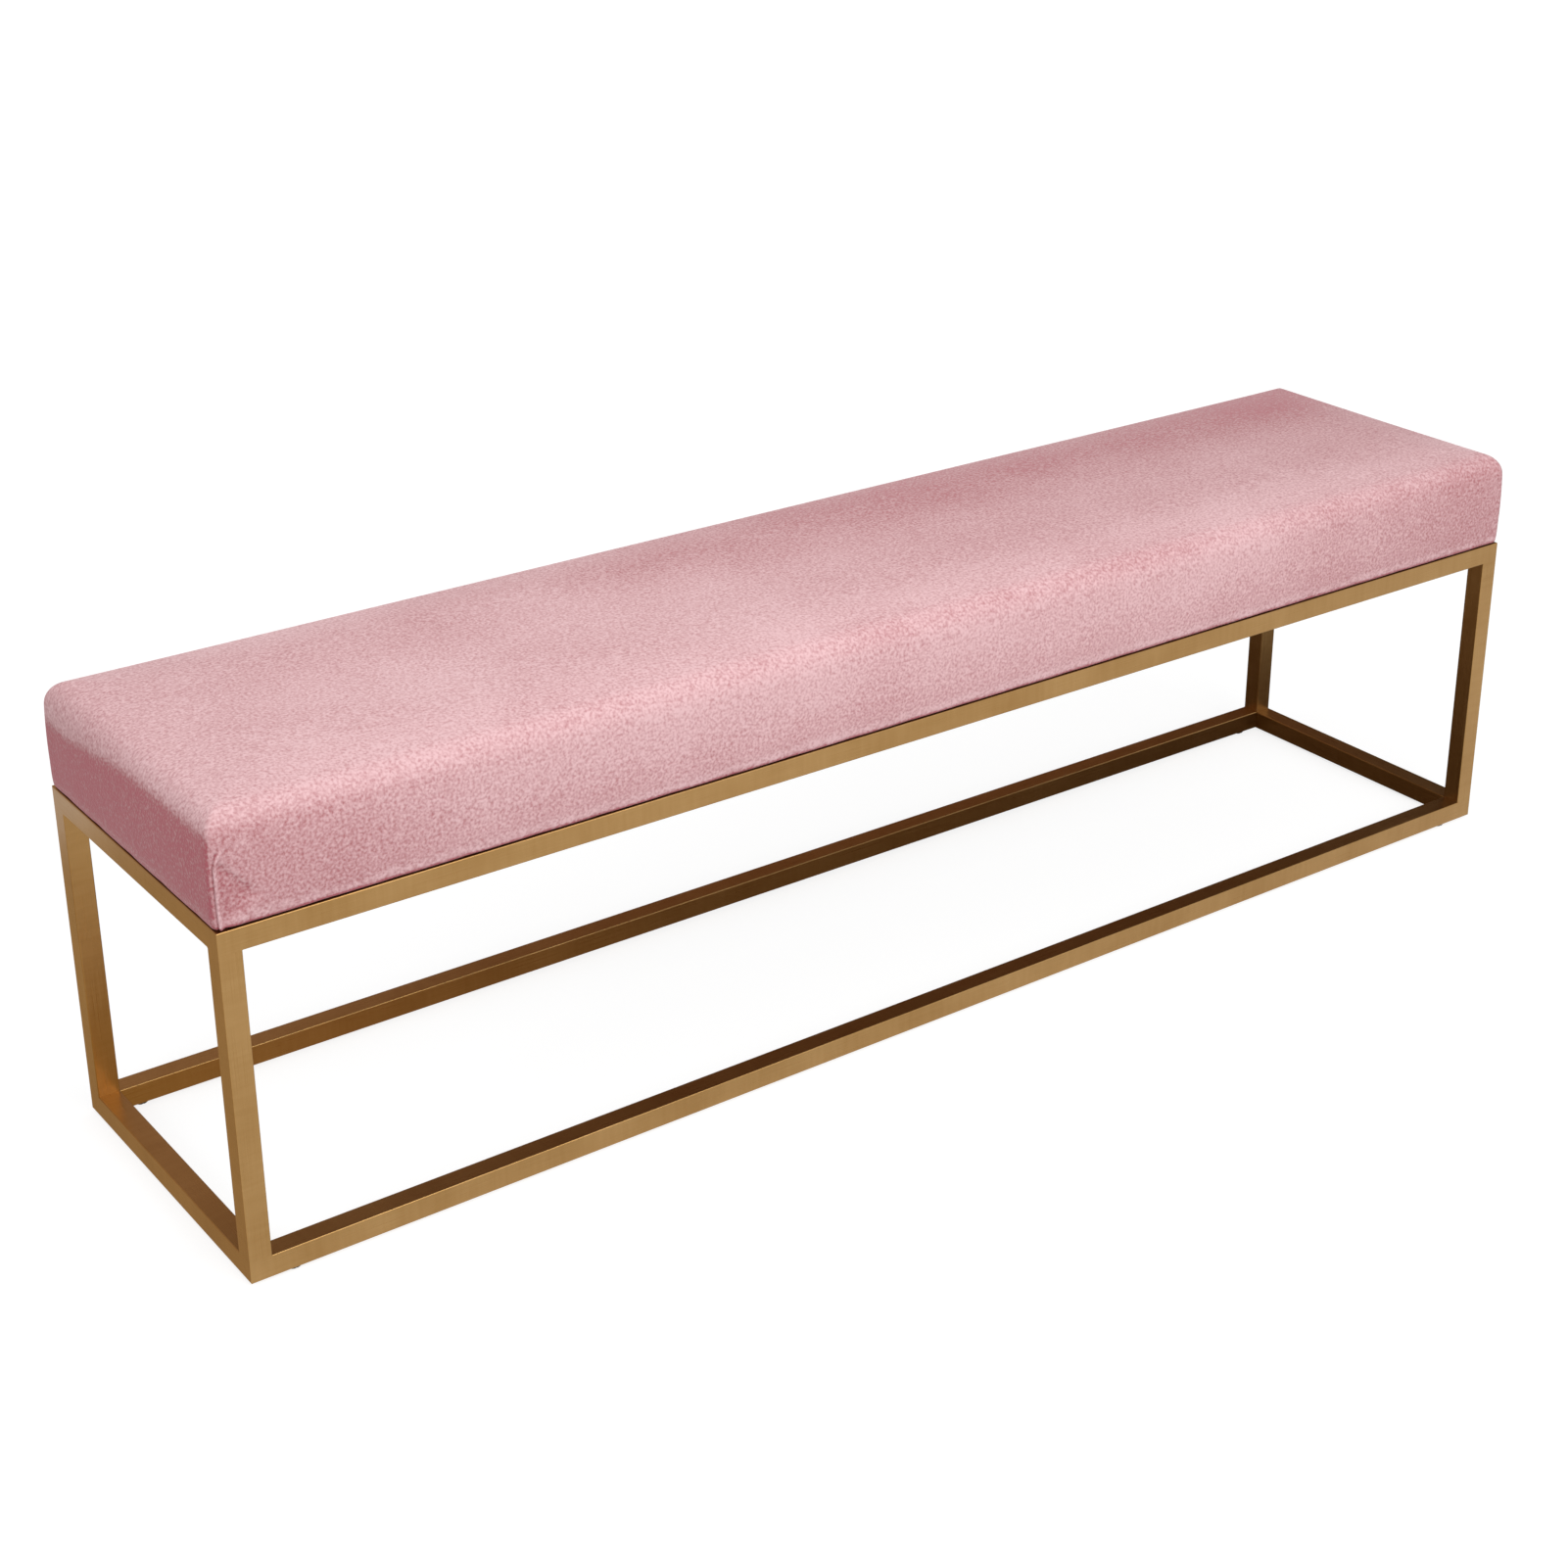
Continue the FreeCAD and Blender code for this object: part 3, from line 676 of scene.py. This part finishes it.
# painted shade: the top darkens towards the right and towards the back right
back_shade_share = BACK_LEFT_SHARE + (1 - BACK_LEFT_SHARE) * smooth_step(x, *BACK_TO_RIGHT)
back_right_painted_shade = smooth_step(y, *BACK_HALF) * back_shade_share
top_nap_and_light = TOP_NAP_AND_LIGHT - RIGHT_PAINTED_SHADE * smooth_step(x, *RIGHT_HALF)
top_nap_and_light -= FAR_RIGHT_PAINTED_SHADE * smooth_step(x, *FAR_RIGHT)
top_nap_and_light -= BACK_PAINTED_SHADE * back_right_painted_shade
# a painted highlight along the top, just behind the front edge
from_edge_highlight = (y + HALF_PLAN[1] - EDGE_PLACE) / EDGE_WIDTH
top_nap_and_light += EDGE_SHARE * (EDGE_PAINTED_HIGHLIGHT - top_nap_and_light) * np.exp(-(from_edge_highlight ** 2))
# each face gets its own tone, from the nap and from painted light: palest on the top, less on the
# front and sides
nap_and_light = SIDE_NAP_AND_LIGHT + (front_nap_and_light - SIDE_NAP_AND_LIGHT) * facing_front
nap_and_light += (top_nap_and_light - nap_and_light) * facing_up
# below this line the left end takes the deep tone: partly its nap standing open, partly painted
# shade
end_line = cover_low.z + END_LINE_HEIGHT - END_LINE_DROP * smooth_step(y, *END_LINE_RUN)
nap_and_light += (END_NAP_AND_SHADE - nap_and_light) * facing_left * (1 - smooth_step(z - end_line, *END_LINE_BLUR))
# adds the tucks' painted light and shade, and a pale line just above the lower edge
nap_and_light += tuck_painted_light + HEM_PALE_LINE * np.exp(-(((above_hem - HEM_LINE) / HEM_WIDTH) ** 2))
# painted shade darkens the cloth under the lower edge
nap_and_light -= 1 - smooth_step(above_hem, 0, HEM_PAINTED_SHADE)
pile_lean_and_light = cushion.data.attributes.new("pile_lean_and_light", "FLOAT", "POINT")
pile_lean_and_light.data.foreach_set("value", nap_and_light)

PILE_GRAIN = 0.0028        # tufts lean together in specks of about 3 mm
SPECK_LEAN = 0.42
PILE_DEPTH = 0.0008
PATCH_SIZE = 0.12          # and a little in soft brushed patches
PATCH_LEAN = 0.1
material, tree, output, place = new_material("cut_pile_velvet")
specks = add_node(tree, "TexNoise", {"Vector": place, "Scale": 1 / PILE_GRAIN, "Detail": 2})
patches = add_node(tree, "TexNoise", {"Vector": place, "Scale": 1 / PATCH_SIZE, "Detail": 2})
# the nap with its painted light and shade, read from the cushion
painted_light_and_nap = add_node(tree, "Attribute", attribute_name="pile_lean_and_light").outputs["Fac"]
speck_lean = add_node(
    tree, "MapRange",
    {
        "Value": specks.outputs[0], "From Min": 0.25, "From Max": 0.75,
        "To Min": -SPECK_LEAN, "To Max": SPECK_LEAN,
    },
)
patch_lean = add_node(
    tree, "MapRange",
    {
        "Value": patches.outputs[0], "From Min": 0.25, "From Max": 0.75,
        "To Min": -PATCH_LEAN, "To Max": PATCH_LEAN,
    },
)
lean_and_light = add_node(tree, "Math", {0: painted_light_and_nap, 1: speck_lean.outputs[0]}, operation="ADD")
lean_and_light = add_node(tree, "Math", {0: lean_and_light.outputs[0], 1: patch_lean.outputs[0]}, operation="ADD")
tone = add_node(tree, "ValToRGB", {"Fac": lean_and_light.outputs[0]})
stops = tone.color_ramp.elements
stops[0].color = linear("#AD5B65")
stops[1].color = linear("#DFB8BB")
stops.new(0.12).color = linear("#AD6E72")
bump = add_node(
    tree, "Bump", {"Height": specks.outputs[0], "Strength": 0.8, "Distance": PILE_DEPTH}
)
shader = add_node(
    tree, "BsdfPrincipled",
    {
        "Base Color": tone.outputs[0], "Roughness": 0.9, "Specular IOR Level": 0.15,
        "Sheen Weight": 0.6, "Sheen Roughness": 0.4, "Sheen Tint": linear("#F4E2E3"),
        "Normal": bump.outputs[0],
    },
)
tree.links.new(shader.outputs[0], output.inputs[0])
cushion.data.materials.append(material)
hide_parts("velvet_cover")
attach(cushion, "bench")


# Dust cover
# A sheet of black spunbonded polypropylene, stapled under the board to close it off. It lies
# on the frame and the braces and sags a few millimetres between them. It is matt and black,
# with loose fibres and a fine grid of bond points.
dust_low, dust_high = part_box("dust_cover")
sheet_size = dust_high - dust_low
SHEET_SAG = 0.0025
SAG_REACH = 0.12           # how far from what holds it the sheet sags fully
SHEET_THICKNESS = 0.0006
SHEET_GRID = 0.01
SPUN_FIBRE = 0.0015        # the fibres and the bond points are drawn coarse enough to show
BOND_PITCH = 0.002
BOND_DEPTH = 0.0003
bpy.ops.object.select_all(action="DESELECT")
bpy.ops.mesh.primitive_grid_add(
    x_subdivisions=round(sheet_size.x / SHEET_GRID),
    y_subdivisions=round(sheet_size.y / SHEET_GRID),
    size=2, location=(0, 0, dust_high.z),
)
dust_sheet = bpy.context.object
dust_sheet.name = "dust_sheet"
dust_sheet.scale = (sheet_size.x / 2, sheet_size.y / 2, 1)
bpy.ops.object.transform_apply(location=True, rotation=True, scale=True)
points = np.array([vertex.co for vertex in dust_sheet.data.vertices])
inside_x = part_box("top_rail_right")[0].x
inside_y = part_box("top_rail_back")[0].y
brace_boxes = [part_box("cross_brace_" + name) for name in ("left", "middle", "right")]
brace_xs = [(low.x + high.x) / 2 for low, high in brace_boxes]
brace_half = (brace_high.x - brace_low.x) / 2
held_x = np.minimum(
    inside_x - abs(points[:, 0]),
    np.min([abs(points[:, 0] - brace_x) for brace_x in brace_xs], axis=0) - brace_half,
)
held = np.clip(np.minimum(held_x, inside_y - abs(points[:, 1])), 0, None)
points[:, 2] -= SHEET_SAG * smooth_step(held, 0, SAG_REACH)
dust_sheet.data.vertices.foreach_set("co", points.ravel())
thickness = dust_sheet.modifiers.new("thickness", "SOLIDIFY")
thickness.thickness = SHEET_THICKNESS
thickness.offset = -1
bpy.ops.object.modifier_apply(modifier="thickness")
bpy.ops.object.shade_smooth()
material, tree, output, place = new_material("black_spunbond")
fibres = add_node(
    tree, "TexNoise", {"Vector": place, "Scale": 1 / SPUN_FIBRE, "Detail": 4, "Distortion": 2.0}
)
bond_points = add_node(
    tree, "TexVoronoi", {"Vector": place, "Scale": 1 / BOND_PITCH, "Randomness": 0.1}
)
tone = add_node(
    tree, "Mix", {"Factor": fibres.outputs[0], "A": linear("#141416"), "B": linear("#2B2B2E")},
    data_type="RGBA",
)
relief = add_node(
    tree, "Math", {0: fibres.outputs[0], 1: bond_points.outputs[0]}, operation="ADD"
)
bump = add_node(
    tree, "Bump", {"Height": relief.outputs[0], "Strength": 0.5, "Distance": BOND_DEPTH}
)
shader = add_node(
    tree, "BsdfPrincipled",
    {"Base Color": tone.outputs[2], "Roughness": 0.7, "Normal": bump.outputs[0]},
)
tree.links.new(shader.outputs[0], output.inputs[0])
dust_sheet.data.materials.append(material)
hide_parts("dust_cover")
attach(dust_sheet, "bench")


# Studio
# A plain pale floor, a white surround and soft lamps, the largest in front of the bench, above
# the seat. The camera stands at the front left.
FLOOR_SIZE = 40
FLOOR_GREY = (0.5, 0.5, 0.5, 1)    # what the floor throws back at the bench
SHADOW_GREY = (0.3, 0.3, 0.3, 1)   # the part of the seen floor that shadows darken
WHITE = linear("#FFFFFF")
GLOW_START = 0.8           # the seen floor glows more strongly far from the bench
GLOW_END = 5.0
NEAR_GLOW = 0.8
FAR_GLOW = 0.92
SURROUND_LIGHT = 0.57


def in_the_picture(tree):
    """1 where the camera looks, straight, by reflection or through glass, else 0."""
    rays = add_node(tree, "LightPath").outputs
    seen = add_node(
        tree, "Math", {0: rays["Is Camera Ray"], 1: rays["Is Glossy Ray"]}, operation="MAXIMUM"
    )
    return add_node(
        tree, "Math", {0: seen.outputs[0], 1: rays["Is Transmission Ray"]}, operation="MAXIMUM"
    ).outputs[0]


bpy.ops.object.select_all(action="DESELECT")
bpy.ops.mesh.primitive_plane_add(size=FLOOR_SIZE, location=(0, 0, 0))
floor = bpy.context.object
floor.name = "floor"
material, tree, output, place = new_material("pale_floor")
paint = add_node(tree, "BsdfDiffuse", {"Color": FLOOR_GREY})
shadow_catcher = add_node(tree, "BsdfDiffuse", {"Color": SHADOW_GREY})
far_off = add_node(tree, "VectorMath", {0: place}, operation="LENGTH").outputs["Value"]
level = add_node(
    tree, "MapRange",
    {
        "Value": far_off, "From Min": GLOW_START, "From Max": GLOW_END,
        "To Min": NEAR_GLOW, "To Max": FAR_GLOW,
    },
)
glow = add_node(tree, "Emission", {"Color": WHITE, "Strength": level.outputs[0]})
white = add_node(tree, "AddShader", {0: shadow_catcher.outputs[0], 1: glow.outputs[0]})
mix = add_node(
    tree, "MixShader", {0: in_the_picture(tree), 1: paint.outputs[0], 2: white.outputs[0]}
)
tree.links.new(mix.outputs[0], output.inputs[0])
floor.data.materials.append(material)

world = bpy.data.worlds.new("studio")
bpy.context.scene.world = world
world.use_nodes = True
tree = world.node_tree
tree.nodes.clear()
strength = add_node(
    tree, "MapRange", {"Value": in_the_picture(tree), "To Min": SURROUND_LIGHT, "To Max": 1.0}
)
surround = add_node(tree, "Background", {"Color": WHITE, "Strength": strength.outputs[0]})
add_node(tree, "OutputWorld", {"Surface": surround.outputs[0]})


def soft_lamp(name, place, target, size, watts):
    """A square softbox aimed at a point."""
    bpy.ops.object.light_add(type="AREA", location=place)
    lamp = bpy.context.object
    lamp.name = name
    lamp.data.size = size
    lamp.data.energy = watts
    lamp.rotation_mode = "QUATERNION"
    lamp.rotation_quaternion = (Vector(target) - Vector(place)).to_track_quat("-Z", "Y")


soft_lamp("key_lamp", (0.1, -2.6, 2.0), (0, 0, 0.35), 2.0, 57)
soft_lamp("left_fill_lamp", (-3.2, -0.6, 1.6), (-0.5, 0, 0.35), 1.5, 20)
soft_lamp("top_lamp", (-0.35, 0.0, 1.8), (-0.35, 0, 0.45), 1.2, 4)


def dark_card(name, middle, turn, size, tones):
    """A warm dark card, glowing in its tones placed along x, that only the metal's reflections
    show: a painted reflection.
    """
    bpy.ops.object.select_all(action="DESELECT")
    bpy.ops.mesh.primitive_plane_add(size=1, location=middle, rotation=turn)
    card = bpy.context.object
    card.name = name
    card.scale = (size[0], size[1], 1)
    bpy.ops.object.transform_apply(location=True, rotation=True, scale=True)
    material, tree, output, place = new_material(name)
    along = add_node(tree, "SeparateXYZ", {"Vector": place}).outputs[0]
    start, end = tones[0][0], tones[-1][0]
    share = add_node(tree, "MapRange", {"Value": along, "From Min": start, "From Max": end})
    tone = add_node(tree, "ValToRGB", {"Fac": share.outputs[0]})
    stops = tone.color_ramp.elements
    stops[0].color = linear(tones[0][1])
    stops[1].color = linear(tones[-1][1])
    for x, colour in tones[1:-1]:
        stops.new((x - start) / (end - start)).color = linear(colour)
    glow = add_node(tree, "Emission", {"Color": tone.outputs[0]})
    tree.links.new(glow.outputs[0], output.inputs[0])
    card.data.materials.append(material)
    card.visible_camera = False
    card.visible_diffuse = False
    card.visible_shadow = False
    card.visible_transmission = False


UPRIGHT = (math.radians(90), 0, 0)
FLAT = (0, 0, 0)
WALL_REFLECTION_TONES = (-0.6, "#CDB4A0"), (0.3, "#876148"), (1.4, "#7A5238"), (2.4, "#2A170E")
FLOOR_SHADOW_TONES = (-0.9, "#CFB482"), (-0.55, "#B89A76"), (-0.1, "#7C654D"), (0.6, "#54402F")
JUST_OVER_FLOOR = 0.0004
# the back card: a painted reflection of a dark room behind the bench, darker towards the right
dark_card("back_card", (0.4, 1.0, 1.1), UPRIGHT, (6.0, 2.2), WALL_REFLECTION_TONES)
# the floor card: a painted shadow under the bench that only reflections show, paler towards the
# left
dark_card("floor_shadow_card", (-0.05, 0.3, JUST_OVER_FLOOR), FLAT, (2.9, 0.95), FLOOR_SHADOW_TONES)

# the camera, fitted to 13 corners of the frame. Its focal length and the point where its axis
# meets the picture are in pixels.
EYE = (-1.5441, -2.0283, 1.4018)
LOOK = (0.5438, 0.73926, -0.39721)
PICTURE_SIZE = 1601
FOCAL_PIXELS = 2693.0
AXIS_PIXEL = (830.9, 713.6)
SENSOR_WIDTH = 36
bpy.ops.object.camera_add(location=EYE)
camera = bpy.context.object
camera.rotation_mode = "QUATERNION"
camera.rotation_quaternion = Vector(LOOK).to_track_quat("-Z", "Y")
camera.data.sensor_width = SENSOR_WIDTH
camera.data.lens = SENSOR_WIDTH * FOCAL_PIXELS / PICTURE_SIZE
camera.data.shift_x = 0.5 - AXIS_PIXEL[0] / PICTURE_SIZE
camera.data.shift_y = AXIS_PIXEL[1] / PICTURE_SIZE - 0.5
bpy.context.scene.camera = camera
bpy.context.scene.view_settings.view_transform = "Standard"
